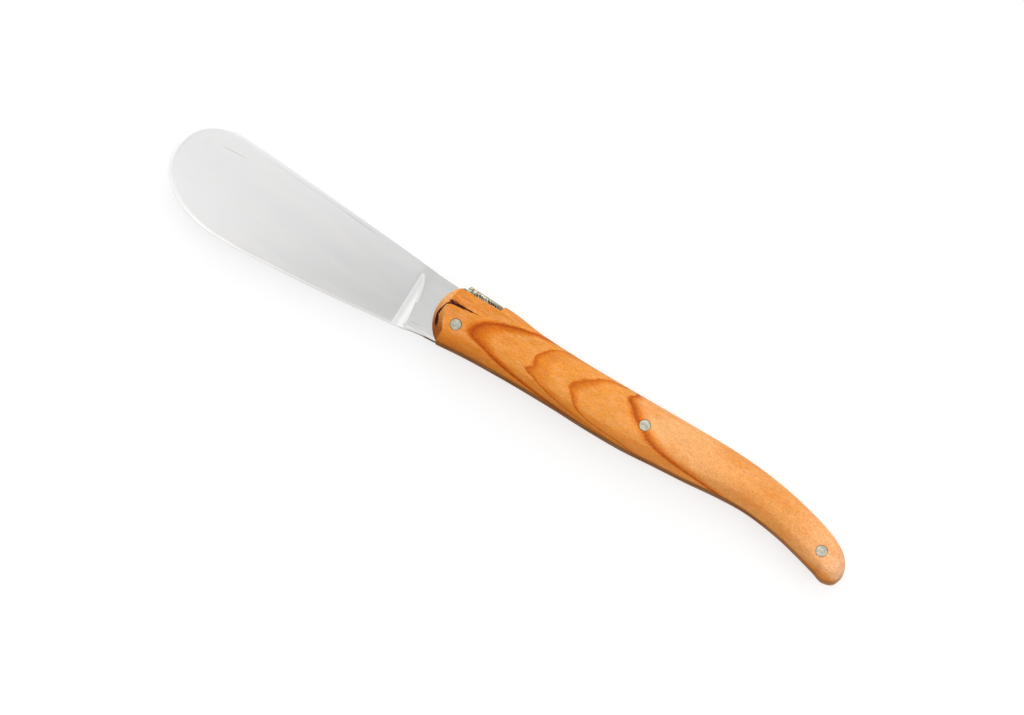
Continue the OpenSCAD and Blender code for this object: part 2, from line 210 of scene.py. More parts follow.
floor_mesh = bpy.data.meshes.new("floor")
floor_mesh.from_pydata([(x * floor_half, y * floor_half, -floor_depth)
                        for x, y in ((-1, -1), (1, -1), (1, 1), (-1, 1))], [], [(0, 1, 2, 3)])
floor = put("floor", floor_mesh)
table, tree = new_material("white_table")
tree.nodes.clear()
rays = node(tree, "ShaderNodeLightPath").outputs
seen = calc(tree, "ADD", rays["Is Camera Ray"], rays["Is Glossy Ray"])
seen = calc(tree, "ADD", seen, rays["Is Transmission Ray"])
glow = node(tree, "ShaderNodeEmission", {"Strength": calc(tree, "MULTIPLY", seen, floor_glow)})
matt = node(tree, "ShaderNodeBsdfDiffuse", {"Color": floor_grey})
both = node(tree, "ShaderNodeAddShader", {0: matt.outputs[0], 1: glow.outputs[0]})
node(tree, "ShaderNodeOutputMaterial", {"Surface": both.outputs[0]})
floor_mesh.materials.append(table)

for name, (place, aim, size, radiance) in soft_boxes.items():
    lamp_data = bpy.data.lights.new(name, "AREA")
    lamp_data.shape = "RECTANGLE"
    lamp_data.size, lamp_data.size_y = size
    lamp_data.energy = radiance * math.pi * size[0] * size[1]
    lamp = put(name, lamp_data)
    lamp.location = place
    lamp.rotation_euler = (Vector(aim) - Vector(place)).to_track_quat("-Z", "Y").to_euler()
    lamp.visible_camera = False

# Blade and tang: one piece of stainless steel. The blade is ground to a wedge between its spine
# and its belly, with a rounded rim, and stops at a plunge flute in front of the flat ricasso.
# The full tang behind it has the handle's outline.
blade_l, handle_l = 69.5, 109.8
blade_drop, blade_rise, tip_rise = 11.9, 10.65, 0.7
tip_spine_l, tip_belly_l, tip_fullness = 11, 18, 2.1
tip_t, edge_t, tang_t, scale_t = 1.1, 0.7, 2.5, 4.5
rim_w, rim_drop, strip_w, edge_round = 1.1, 0.16, 0.8, 0.1
strip_fade_share, strip_fade_x, strip_fade_l = 0.25, 20, 35
ricasso_l, flute_w, flute_top_w, flute_lean, flute_sweep = 3.45, 3.3, 0.4, 0.4, math.radians(60)
flute_top_share, flat_share = 0.875, 0.9
chamfer_w, chamfer_drop = 0.8, 0.35
tang_band_w, tang_break = 0.6, 0.1
handle_drop, handle_rise = 4.8, 11.3
seat_x = 2.3
half_t = tang_t / 2
middle_z = scale_t + half_t
grind_l = blade_l - ricasso_l - flute_w
body_end = grind_l - flute_lean
seat_front_x = blade_l + seat_x
belly_shares = [(0, 1), (0.155, 0.979), (0.265, 0.932), (0.486, 0.843), (0.707, 0.731),
                (0.884, 0.634), (1, 0.567)]
ricasso_drop_shares, ricasso_bend_share = (0.503, 0.472, 0.437), 0.35
spine_shares = [(0, 1), (0.148, 0.986), (0.3125, 0.96), (0.477, 0.928), (0.641, 0.895),
                (0.806, 0.847), (0.888, 0.82), (1, 0.803)]
handle_belly_shares = [(0.0382, 0.99), (0.0932, 0.833), (0.1845, 0.675), (0.2941, 0.571),
                       (0.4128, 0.527), (0.4767, 0.448), (0.5498, 0.254), (0.6228, 0.071),
                       (0.6959, -0.156), (0.7553, -0.258), (0.81, -0.192), (0.8603, -0.04),
                       (0.9059, 0.175), (0.9425, 0.365), (0.9726, 0.521), (0.9927, 0.333),
                       (1, -0.104)]
handle_back_shares = [(0.9963, 0.265), (0.9808, 0.438), (0.9562, 0.584), (0.9196, 0.708),
                      (0.874, 0.814), (0.8192, 0.91), (0.7553, 0.976), (0.6776, 1),
                      (0.5954, 0.9735), (0.5132, 0.937), (0.4219, 0.892), (0.3123, 0.852),
                      (0.2119, 0.854), (0.1342, 0.914), (0.084, 0.892), (0.0318, 0.858)]
side_steps, head_steps, line_steps = 14, 64, 8
tip_steps, body_steps, flute_steps, ricasso_steps = 48, 40, 24, 10
face_rows, rim_rows = 44, 10
corner_bend, merge_gap = math.radians(15), 0.000002
# The tip and the base line in millimetres of the frame.
mm_per_m = 1000
origin = np.array((cad_box[0].x * mm_per_m, cad_box[0].y * mm_per_m + blade_drop, 0))


def between(a, b, share):
    """A value, or an array, part of the way from a to b."""
    return a + (b - a) * share


def part_way(past, length):
    """How far along a length: the way past its start over the length, held between 0 and 1."""
    return np.clip(past / length, 0, 1)


def circle(steps):
    """Points evenly round a circle of radius 1."""
    angle = np.linspace(0, 2 * math.pi, steps, endpoint=False)
    return np.stack([np.cos(angle), np.sin(angle)], 1)


def smooth_line(points, steps):
    """Cubic pieces through points. At each point the line runs along the mean of its two
    chords' directions, in which the shorter chord counts more."""
    p = np.array(points, float)
    chord = np.diff(p, axis=0)
    length = np.linalg.norm(chord, axis=1)[:, None]
    unit = chord / length
    mean = (unit[:-1] * length[1:] + unit[1:] * length[:-1]) / (length[:-1] + length[1:])
    heading = np.vstack([unit[:1], mean, unit[-1:]])
    t = np.linspace(0, 1, steps, endpoint=False)[None, :, None]
    line = (p[:-1, None] * (2 * t**3 - 3 * t**2 + 1)
            + (heading[:-1] * length)[:, None] * (t**3 - 2 * t**2 + t)
            + p[1:, None] * (3 * t**2 - 2 * t**3)
            + (heading[1:] * length)[:, None] * (t**3 - t**2))
    return np.vstack([line.reshape(-1, p.shape[1]), p[-1:]])


def inward(outline, edge_w):
    """The step that each point of a closed outline takes when every edge moves inwards by its own
    width: along the mean of the two edges' normals, or to the crossing of the two moved edges
    where they meet at a corner of over 15 degrees."""
    edge = np.roll(outline, -1, 0) - outline
    after = np.stack([-edge[:, 1], edge[:, 0]], 1) / np.linalg.norm(edge, axis=1)[:, None]
    before, w_after = np.roll(after, 1, 0), np.array(edge_w, float)
    w_before = np.roll(w_after, 1)
    bend = before[:, 0] * after[:, 1] - before[:, 1] * after[:, 0]
    straight = np.abs(bend) < math.sin(corner_bend)
    along = ((before + after) / (1 + (before * after).sum(1))[:, None]
             * ((w_before + w_after) / 2)[:, None])
    crossing = (np.stack([w_before * after[:, 1] - w_after * before[:, 1],
                          w_after * before[:, 0] - w_before * after[:, 0]], 1)
                / np.where(straight, 1, bend)[:, None])
    return np.where(straight[:, None], along, crossing)


def wrap(belly, spine, rows, shift=np.zeros((1, 1)), flat_share=1.0):
    """The closed skin of a long piece. At each station along it, belly and spine hold the points
    of its two rounded sides, from the lower face to the upper one, and straight rows of points
    join them across both faces. The upper and lower rows can shift along the piece, and have the
    spine's height from a share of the way on."""
    share = np.linspace(0, 1, rows + 1)[1:-1, None]
    ground = share * (1, 1, 0) + np.minimum(1, share / flat_share) * (0, 0, 1)
    upper = between(belly[:, -1:], spine[:, -1:], ground)
    lower = between(belly[:, :1], spine[:, :1], ground)[:, ::-1]
    upper[..., 0] += shift
    lower[..., 0] += shift[:, ::-1]
    return np.concatenate([belly, upper, spine[:, ::-1], lower], 1)


def ring_faces(stations, columns):
    """The four corners of each face of a skin whose columns close on themselves."""
    i, j = np.meshgrid(np.arange(stations - 1), np.arange(columns), indexing="ij")
    here, ahead, after = i * columns, (i + 1) * columns, (j + 1) % columns
    return np.stack([here + j, ahead + j, ahead + after, here + after], -1).reshape(-1, 4)


def to_frame(points):
    """Points in millimetres, from the tip and the base line, as metres in the shared frame."""
    return (points.reshape(-1, 3) + origin) / mm_per_m


def skin_mesh(name, *skins):
    """One mesh of closed skins of points. Points that fall together at poles are merged, open
    ends are filled, and the faces point outwards."""
    sizes = [skin.shape[0] * skin.shape[1] for skin in skins]
    starts = np.cumsum([0, *sizes[:-1]])
    faces = np.vstack([ring_faces(*skin.shape[:2]) + start for skin, start in zip(skins, starts)])
    mesh = bpy.data.meshes.new(name)
    mesh.from_pydata(np.vstack([to_frame(skin) for skin in skins]).tolist(), [], faces.tolist())
    work = bmesh.new()
    work.from_mesh(mesh)
    bmesh.ops.remove_doubles(work, verts=work.verts, dist=merge_gap)
    bmesh.ops.holes_fill(work, edges=work.edges)
    bmesh.ops.recalc_face_normals(work, faces=work.faces)
    work.to_mesh(mesh)
    work.free()
    return mesh


def coordinates(mesh):
    """The places of a mesh's points, as an array."""
    flat = np.empty(len(mesh.vertices) * 3, np.float32)
    mesh.vertices.foreach_get("co", flat)
    return flat.reshape(-1, 3)


def piece(name, skin, material, cad_node, cutters=(), crisp=25):
    """A piece made of a skin of points, with closed shapes cut out of it. It is kept inside the
    model's box, edges sharper than the crisp angle stay sharp, and it stands for its node."""
    mesh = skin_mesh(name, skin)
    made = put(name, mesh)
    if cutters:
        tool = put("cutter", skin_mesh("cutter", *cutters))
        made.modifiers.new("cut", "BOOLEAN").object = tool
        cut = made.evaluated_get(bpy.context.evaluated_depsgraph_get())
        mesh = bpy.data.meshes.new_from_object(cut)
        made.modifiers.clear()
        made.data = mesh
        bpy.data.objects.remove(tool)
    inside = np.clip(coordinates(mesh), cad_box[0], cad_box[1]).astype(np.float32)
    mesh.vertices.foreach_set("co", inside.ravel())
    mesh.shade_smooth()
    mesh.set_sharp_from_angle(angle=math.radians(crisp))
    mesh.materials.clear()
    mesh.materials.append(material)
    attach(made, frame["nodes"][cad_node]["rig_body"])
    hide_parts(cad_node)
    return made


def mark(made, name, values):
    """Keeps a value for each point of a piece, for its material to read."""
    kept = made.data.attributes.new(name, "FLOAT", "POINT")
    kept.data.foreach_set("value", values.astype(np.float32))


def round_off(x, length):
    """How far the round tip has opened at x: a super-ellipse of the given fullness."""
    return (1 - np.maximum(0, 1 - x / length) ** tip_fullness) ** (1 / tip_fullness)


def edge_height(x, round_l, far, line):
    """The height of the blade's edge at x: the round tip opens to its far side, and the edge's
    line follows."""
    tip_height = between(tip_rise, far, round_off(x, round_l))
    return np.where(x < round_l, tip_height, np.interp(x, *line.T))


def share_up(x, y):
    """How far up the blade a place is: 0 on the belly's line, 1 on the spine's."""
    low, high = np.interp(x, *belly_line.T), np.interp(x, *spine_line.T)
    return (y - low) / (high - low)


ricasso_start = grind_l + flute_w
ricasso_bend = between(ricasso_start, blade_l, ricasso_bend_share)
belly_line = smooth_line(
    [(between(tip_belly_l, grind_l, s), -d * blade_drop) for s, d in belly_shares]
    + [(x, -d * blade_drop) for x, d in zip((ricasso_start, ricasso_bend, blade_l),
                                            ricasso_drop_shares)], line_steps)
spine_line = smooth_line([(between(tip_spine_l, seat_front_x, s), h * blade_rise)
                          for s, h in spine_shares], line_steps)
side_line = smooth_line(
    [(blade_l + s * handle_l, -d * handle_drop) for s, d in handle_belly_shares]
    + [(blade_l + s * handle_l, h * handle_rise) for s, h in handle_back_shares], side_steps)
tail_i = (len(side_line) - 1) // 2

tip_x = tip_belly_l * (1 - np.cos(np.linspace(0, math.pi / 2, tip_steps + 1)))
body_shares = np.arange(1, body_steps + 1) / body_steps
flute_shares = np.arange(1, flute_steps + 1) / flute_steps
ricasso_shares = np.arange(1, ricasso_steps + 1) / ricasso_steps
belly_x = np.concatenate([
    tip_x, between(tip_belly_l, grind_l, body_shares), grind_l + flute_w * flute_shares,
    between(ricasso_start, blade_l, ricasso_shares)])
spine_x = np.concatenate([
    tip_x, between(tip_belly_l, body_end, body_shares), body_end + flute_top_w * flute_shares,
    between(body_end + flute_top_w, seat_front_x, ricasso_shares)])
belly_y = edge_height(belly_x, tip_belly_l, -blade_drop, belly_line)
spine_y = edge_height(spine_x, tip_spine_l, blade_rise, spine_line)

# Each station's share of the flute's width, of its climb from the ground face to the ricasso's
# full thickness, and of the way from the tip's rim to the strip along the spine.
flute_way = part_way(belly_x - grind_l, flute_w)
flute_fill = (1 - np.cos(flute_sweep * flute_way)) / (1 - math.cos(flute_sweep))
strip_way = part_way(spine_x, tip_spine_l) ** 3
wedge_half = between(tip_t / 2, half_t, part_way(spine_x, body_end))
belly_half = np.where(belly_x > grind_l, between(edge_t / 2, half_t, flute_fill),
                      between(edge_t / 2, wedge_half, share_up(belly_x, belly_y)))
spine_half = between(edge_t / 2, wedge_half, np.clip(share_up(spine_x, spine_y), 0, 1))
tang = np.ones(tail_i + 1)


def along(blade_values, tang_value):
    """Values at the blade's stations, then one value at all the tang's."""
    return np.concatenate([blade_values, tang * tang_value])


rail_belly = np.vstack([np.stack([belly_x, belly_y], 1), side_line[:tail_i + 1]])
rail_spine = np.vstack([np.stack([spine_x, spine_y], 1), side_line[:tail_i - 1:-1]])
stations = len(rail_belly)
half_belly, half_spine = along(belly_half, half_t), along(spine_half, half_t)
width_belly = along(between(rim_w, chamfer_w, flute_way**3), tang_band_w)
width_spine = along(between(rim_w, strip_w, strip_way), tang_band_w)
drop_belly = along(rim_drop * (1 - flute_way) ** 2 + chamfer_drop * flute_way**5, tang_break)
strip_fade = between(1, strip_fade_share, part_way(spine_x - strip_fade_x, strip_fade_l))
drop_spine = along(between(rim_drop, tang_break, strip_way) * strip_fade, tang_break)
power_belly = along(between(2, 1, flute_way), 2)
power_spine = along(np.full(len(spine_x), 2.0), 2)

loop = np.vstack([rail_belly, rail_spine[-2:0:-1]])
point_w = np.concatenate([width_belly, width_spine[-2:0:-1]])
steps_in = inward(loop, (point_w + np.roll(point_w, -1)) / 2)
step_belly = steps_in[:stations]
step_spine = np.vstack([steps_in[:1], steps_in[:stations - 2:-1]])


def rim(rail, step, half, width, drop, power):
    """The rounded side of the steel, from the lower face round the edge to the upper face. The
    face drops towards the edge as a power of the way out, and the last corner is a quarter
    circle."""
    way = np.linspace(0, 1, rim_rows + 1)[None, :] ** 2
    corner = np.clip(1 - way * width[:, None] / edge_round, 0, 1)
    depth = drop[:, None] * (1 - way) ** power[:, None] + edge_round * (1 - np.sqrt(1 - corner**2))
    place = rail[:, None] + step[:, None] * way[..., None]
    z = half[:, None] - depth
    upper = np.concatenate([place, (middle_z + z)[..., None]], 2)
    lower = np.concatenate([place, (middle_z - z)[..., None]], 2)
    return np.concatenate([lower[:, ::-1], upper], 1)


# The flute's crisp edge bows out past a straight line: the wheel's round rim cuts as wide as the
# root of the depth that it has left to cut.
row_share = np.linspace(0, 1, face_rows + 1)[1:-1]
bow = (np.maximum(flute_top_w, flute_w * np.sqrt(np.maximum(0, 1 - row_share / flute_top_share)))
       - between(flute_w, flute_top_w, row_share))
ricasso_way = along(part_way(belly_x - ricasso_start, blade_l - ricasso_start), 1)
bow_way = along(flute_way, 1) * (1 - ricasso_way)
blade_skin = wrap(rim(rail_belly, step_belly, half_belly, width_belly, drop_belly, power_belly),
                  rim(rail_spine, step_spine, half_spine, width_spine, drop_spine, power_spine),
                  face_rows, bow_way[:, None] * bow, flat_share)

pin_names = ("head_pin", "middle_pin", "tail_pin")
pin_boxes = [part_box(name) for name in pin_names]
hole_gap, hole_sides, cut_over = 0.03, 64, 1
seat_rear_x, seat_front_y, seat_rear_y, step_slant, seat_top = 82.5, 7.95, 8.5, 0.35, 13
seat_l, seat_climb = seat_rear_x - seat_front_x, seat_rear_y - seat_front_y


def box_mm(box):
    """A box of the frame in millimetres from the tip and the base line."""
    return np.array(box) * mm_per_m - origin


def hole(box):
    """The cutter for a pin's hole: a closed ring of points round its axis, below and above."""
    low, high = box_mm(box)
    radius = (high[0] - low[0]) / 2 + hole_gap
    ring = (low + high)[:2] / 2 + radius * circle(hole_sides)
    return np.stack([np.insert(ring, 2, z, 1) for z in (low[2] - cut_over, high[2] + cut_over)])


def seat_height(x):
    """The height of the ornament's sloping seat at x."""
    return seat_front_y + (x - seat_front_x) * seat_climb / seat_l


def seat_cut(front_x):
    """The cutter for the ornament's seat: a prism over the sloping line of the seat."""
    corners = np.array([(front_x, seat_height(front_x)), (seat_rear_x, seat_rear_y),
                        (seat_rear_x + step_slant, seat_top), (front_x, seat_top)])
    return np.stack([np.insert(corners, 2, z, 1) for z in (-cut_over, 2 * middle_z + cut_over)])


def dress(tree, sockets):
    """Gives the named sockets of a material's shader a fixed value or another node's output."""
    fill(tree, tree.nodes["Principled BSDF"], sockets)


def times(tree, *values):
    """The product of numbers."""
    result = values[0]
    for value in values[1:]:
        result = calc(tree, "MULTIPLY", result, value)
    return result


def distance(tree, value, middle):
    """How far a number is from a middle."""
    return calc(tree, "ABSOLUTE", calc(tree, "SUBTRACT", value, middle))


def place_mm(tree, stretch=(1, 1, 1), turn=0.0):
    """The place on a piece in millimetres, turned about Z and then stretched."""
    place = node(tree, "ShaderNodeTexCoord").outputs["Object"]
    turned = node(tree, "ShaderNodeVectorRotate", {"Vector": place, "Angle": turn},
                  rotation_type="Z_AXIS").outputs[0]
    scale = [mm_per_m * value for value in stretch]
    return node(tree, "ShaderNodeMapping", {"Vector": turned, "Scale": scale},
                vector_type="POINT").outputs[0]


def flat_mm(tree):
    """The place on a piece in millimetres, brought down to height 0."""
    return vector(tree, "MULTIPLY", place_mm(tree), (1, 1, 0))["Vector"]


def facing(tree):
    """How far the surface faces along X, Y and Z."""
    return split(tree, node(tree, "ShaderNodeTexCoord").outputs["Normal"])


def mottle(tree, stretch, detail, turn=0.0):
    """Soft noise with so many waves to the millimetre along X, Y and Z, and finer detail on it."""
    return node(tree, "ShaderNodeTexNoise", {"Vector": place_mm(tree, stretch, turn), "Scale": 1.0,
                                             "Detail": detail}).outputs["Fac"]


def vary(tree, noise, least, most):
    """Soft noise, which keeps mostly between 0.3 and 0.7, carried to another range."""
    return span(tree, noise, 0.3, 0.7, least, most)


def relief(tree, height, depth):
    """Bump of a depth in metres."""
    return node(tree, "ShaderNodeBump", {"Height": height, "Distance": depth,
                                         "Strength": 1.0}).outputs[0]


def stroke(tree, start, end, width):
    """How near a place is to a straight stroke between two places of the frame, in millimetres:
    1 on the stroke, falling to 0 at its width and towards both ends."""
    way, length = Vector(end) - Vector(start), (Vector(end) - Vector(start)).length
    from_start = vector(tree, "SUBTRACT", flat_mm(tree), (*start, 0))["Vector"]
    along_it, beside = (vector(tree, "DOT_PRODUCT", from_start, unit)["Value"]
                        for unit in ((*way / length, 0), (-way.y / length, way.x / length, 0)))
    return times(tree, span(tree, distance(tree, along_it, length / 2), length / 2, length / 5),
                 span(tree, calc(tree, "ABSOLUTE", beside), width, width / 4))


# The steel has a satin polish with a faint grain. A dark line near the tip is a painted
# reflection of something dark, a grey line along the spine is painted shade on its bright edge,
# and two lines lie by the ricasso's belly. The ricasso, the belly's side of the blade and the
# belly's rim near the tip are made lighter, as painted highlights. Its side walls in the handle
# are painted dark, as painted shade. Each pair gives the places in millimetres of the frame
# between which a look comes in.
ricasso_x, ricasso_highlight = (-25, -23.5), (1.06, 1.06, 1.05, 1)
belly_y_mm, belly_highlight = (2, -8), (1.06, 1.06, 1.06, 1)
tip_rim_x, rim_highlight = (-42, -62), (1.16, 1.16, 1.15, 1)
steel_shade_x, handle_x, covered_x, brown_x = (-25.5, -21), (-20, -18.5), (-15.6, -14.9), (66, 82)
lower_half_z, back_shade_share, shade_rough = (middle_z + 0.2, middle_z - 0.3), 0.14, 0.7
line_grey, steel_relief = paint(96, 96, 98), 0.000001
# The stretch and turn of each kind of scratch, and the ends, width and strength of each line.
scratch_kinds = [((0.08, 6, 1), 0.12), ((0.1, 9, 1), -0.35), ((0.07, 7, 1), 1.2)]
# The first line is a painted reflection of something dark near the tip; the next two are painted
# shade along the spine's bright edge.
fine_lines = [((-81.4, 6.65), (-74.3, 7.25), 0.13, 0.3), ((-72, 9.75), (-46, 9.2), 0.14, 0.1),
              ((-52, 9.35), (-39, 8.65), 0.16, 0.2), ((-23.5, -3.62), (-20.8, -3.28), 0.12, 0.26),
              ((-23.6, -4.62), (-17.6, -4.34), 0.12, 0.3)]

steel, tree = new_material("satin_steel")
at_x, at_y, at_z = split(tree, place_mm(tree))
facing_x, facing_y, facing_z = facing(tree)
scratches = [span(tree, mottle(tree, stretch, 1, turn), 0.68, 0.74)
             for stretch, turn in scratch_kinds]
scratched = calc(tree, "MAXIMUM", calc(tree, "MAXIMUM", *scratches[:2]), scratches[2])
polish = mottle(tree, (0.05, 0.25, 0.25), 3)
grain = mottle(tree, (0.25, 12, 12), 1)
unshaded_steel = mix(tree, span(tree, polish, 0.35, 0.65), paint(211, 211, 211), paint(216, 215, 214))
# Painted highlights: the ricasso, the belly's side of the blade and the belly's rim near the tip
# are made lighter.
unshaded_steel = mix(tree, span(tree, at_x, *ricasso_x), unshaded_steel, ricasso_highlight, "MULTIPLY")
unshaded_steel = mix(tree, span(tree, at_y, *belly_y_mm), unshaded_steel, belly_highlight, "MULTIPLY")
belly_rim = span(tree, calc(tree, "ADD", facing_x, facing_y), -0.04, -0.16)
unshaded_steel = mix(tree, times(tree, belly_rim, span(tree, at_x, *tip_rim_x)), unshaded_steel, rim_highlight,
            "MULTIPLY")
for start, end, width, strength in fine_lines:
    unshaded_steel = mix(tree, times(tree, stroke(tree, start, end, width), strength), unshaded_steel, line_grey)

# The painted shade lies on the walls between the scales, and on the lower half of the
# ricasso's wall.
upright = span(tree, calc(tree, "ABSOLUTE", facing_z), 0.7, 0.4)
steel_wall_shade = times(
    tree, calc(tree, "MAXIMUM", span(tree, at_x, *covered_x), upright),
    span(tree, at_x, *steel_shade_x),
    calc(tree, "MAXIMUM", span(tree, at_x, *handle_x), span(tree, at_z, *lower_half_z)),
    span(tree, facing_y, -0.5, 0.5, 1, back_shade_share),
    vary(tree, mottle(tree, (0.2, 0.6, 1.2), 3), 0.82, 1))
off_middle = distance(tree, at_z, middle_z)
# The painted shade's colour: near black in the middle of the wall, brown towards the scales and
# near the tail.
shade_colour = mix(tree, span(tree, off_middle, 0.3, 0.6), paint(46, 44, 26), paint(172, 110, 54))
shade_colour = mix(tree, span(tree, at_x, *brown_x), shade_colour, paint(176, 118, 70))
rough = calc(tree, "ADD", vary(tree, polish, 0.15, 0.18), times(tree, scratched, 0.04))
rough = calc(tree, "ADD", rough, times(tree, steel_wall_shade, shade_rough))
worked = calc(tree, "SUBTRACT", times(tree, grain, 0.25), times(tree, scratched, 0.3))
dress(tree, {"Base Color": mix(tree, steel_wall_shade, unshaded_steel, shade_colour), "Roughness": rough,
             "Metallic": calc(tree, "SUBTRACT", 1.0, steel_wall_shade), "Specular IOR Level": 0,
             "Normal": relief(tree, worked, steel_relief)})

holes = [hole(box) for box in pin_boxes]
blade = piece("blade_and_tang_steel", blade_skin, steel, "blade_and_tang",
              [*holes, seat_cut(seat_front_x)], crisp=20)

# Scales: two slabs of figured wood of the same outline, sawn from one block, pinned and glued to
# the tang, then bevelled all round and oiled. The arc of the head meets the flat ricasso.
side_h, bevel_fade_share, tail_fade_share = 1, 0.25, 0.1
belly_bevel_w, head_bevel_w, back_bevel_w, tail_bevel_w = 2.2, 2.6, 1.9, 1.4
front_bevel_w, front_top_bevel_w, head_bulge, face_bulge = 2.25, 1, 3.8, 1.2
bevel_h = scale_t - side_h
section_shares = [(0, 0), (0, 0.85), (0.004, 1), (0.03, 1.12), (0.3, 1.42), (0.6, 1.72),
                  (0.78, 1.885), (0.9, 1.963), (0.96, 1.99), (1, 2)]
scale_rows, section_steps = 40, 5

side_way = (side_line[:, 0] - blade_l) / handle_l
tail_fade = np.sqrt(part_way(1 - side_way, tail_fade_share))
on_belly = np.arange(len(side_line)) < tail_i
full_w = np.where(on_belly, between(head_bevel_w, belly_bevel_w,
                                    part_way(side_way, bevel_fade_share)), back_bevel_w)
side_edge_w = between(tail_bevel_w, full_w, tail_fade)[:-1]


def arc_circle(a, b, bulge):
    """The centre and radius of the arc from a to b that stands out by a bulge to the right."""
    c = b - a
    length = np.linalg.norm(c)
    radius = (length**2 / 4 + bulge**2) / (2 * bulge)
    return (a + b) / 2 - np.array([c[1], -c[0]]) / length * (radius - bulge), radius


def head_arc(a, b, bulge):
    """The points between the ends of that arc, evenly spaced."""
    centre, radius = arc_circle(a, b, bulge)
    first, last = (math.atan2(*(end - centre)[::-1]) % (2 * math.pi) for end in (a, b))
    angle = np.linspace(first, last, head_steps + 1)[1:-1, None]
    return centre + radius * np.hstack([np.cos(angle), np.sin(angle)])


def scale_outline(share):
    """The handle's outline with every edge moved in by a share of its bevel's width. The arc of
    the head is drawn anew between its corners. It starts in the middle of that arc."""
    side = side_line + side_step * share
    arc = head_arc(side[-1], side[0], between(head_bulge, face_bulge, share))
    middle = head_steps // 2 - 1
    return np.vstack([arc[middle:], side, arc[:middle]])


closed = np.vstack([side_line, head_arc(side_line[-1], side_line[0], head_bulge)])
edge_w = np.concatenate([side_edge_w, [front_top_bevel_w], np.full(head_steps - 1, front_bevel_w)])
side_step = inward(closed, edge_w)[:len(side_line)]


def spread_corner(line, step):
    """Spreads the first moved points of a line evenly from the first one, which is the crossing
    of the moved edges at a sharp corner, to the next well-placed one. Unspread, they would pass
    the crossing."""
    way = np.linspace(0, 1, side_steps, endpoint=False)[:, None]
    step[:side_steps] = between(line[0] + step[0], line[side_steps] + step[side_steps],
                                way) - line[:side_steps]


spread_corner(side_line, side_step)
spread_corner(side_line[::-1], side_step[::-1])
section = smooth_line(section_shares, section_steps)
section_z = np.where(section[:, 1] < 1, section[:, 1] * side_h,
                     side_h + np.minimum(section[:, 1] - 1, 1) * bevel_h)


def scale_skin(base, way_up):
    """A scale's closed skin, with its inner face at height base and its outer face up or down."""
    rings = np.stack([scale_outline(share) for share in section[:, 0]], 1)
    z = np.broadcast_to(base + way_up * section_z, rings.shape[:2])
    rings = np.concatenate([rings, z[..., None]], 2)
    half = len(rings) // 2
    belly, spine = rings[:half + 1], np.concatenate([rings[:1], rings[:half - 1:-1]])
    return wrap(belly, spine, scale_rows)


vein_stops = [
    (0, 0.2), (0.3, 0), (0.9, 0), (0.97, 0.5), (1, 0.95), (1.04, 1), (1.1, 0.72), (1.22, 0.46),
    (1.36, 0), (1.95, 0), (2, 0.85), (2.04, 0.58), (2.12, 0.3), (2.36, 0.22), (2.5, 0), (2.96, 0),
    (3, 0.9), (3.04, 0.6), (3.12, 0.4), (3.22, 0), (3.84, 0), (3.93, 0.5), (4, 1), (4.07, 0.8),
    (4.2, 0.42), (4.42, 0)]
last_ring = 7.0

# The figure of the wood follows a field that counts its growth rings from the head to the tail.
# It is a thin sheet bent through places on the rings: it changes as r*r*log(r*r) round each one.
ring_places = {
    0: [(66, 1), (67, 4.5), (70, 7), (67, -2), (72, -4)],
    1: [(78.9, 1), (79.2, 2.2), (80.2, 3.2), (81.4, 4.6), (83.3, 5.7), (85.6, 6.6), (89.8, 7.9),
        (93.9, 8.8), (98.1, 9.3), (79.6, 0.2), (81.4, -0.4), (85.6, -1.3), (89.8, -2.1),
        (93.9, -2.6), (98.1, -2.95), (102.3, -3.15), (111.6, -3.4)],
    2: [(94.4, 0.6), (95.4, 1.6), (95.3, 3.1), (94.9, 4.6), (96, 6), (99.6, 8.6), (104, 9.5),
        (97.3, -0.4), (100.6, -1.3), (104.4, -2), (108.5, -2.4), (112.6, -2.75), (117, -2.95)],
    3: [(104.7, 3), (106.4, 4.9), (108.5, 6.7), (110.6, 8.1), (113.1, 9), (116.2, 9.6),
        (106.4, 1.2), (107.7, 0), (109.8, -1.3), (112.6, -1.8), (116.6, -2.05), (123.1, -2.3),
        (128.6, -2.4)],
    3.6: [(119, 1)],
    4.4: [(122.2, 9.6), (121.9, 8.2)],
    4: [(118.6, 10.2), (117.9, 8.4), (118.9, 6.9), (120.6, 5.4), (122.3, 4.2), (124.4, 3),
        (126.9, 1.8), (129.8, 1.1), (133.1, 0.65), (139.4, 0.4), (145.6, 0.25), (151.6, 0.2)],
    5: [(133, 10), (133, 6), (139, 3.5), (150, 2.2), (165, 1.6)],
    6: [(150, 10), (152, 6), (160, 4.5)]}
ring_stretch = (1, 2.5)
known = np.array([place for places in ring_places.values() for place in places])
count = np.concatenate([np.full(len(places), ring) for ring, places in ring_places.items()])


def sheet_terms(places):
    """The distance terms between places and the known places, and the terms of a flat plane."""
    apart = (places[:, None] - known[None]) * ring_stretch
    square = (apart**2).sum(2) + 1e-9
    return 0.5 * square * np.log(square), np.insert(places, 0, 1, 1)


terms, plane = sheet_terms(known)
system = np.block([[terms, plane], [plane.T, np.zeros((3, 3))]])
sheet_weights = np.linalg.solve(system, np.concatenate([count, np.zeros(3)]))


def growth(places):
    """The growth ring at each place of a scale's face, in millimetres."""
    return np.hstack(sheet_terms(places)) @ sheet_weights


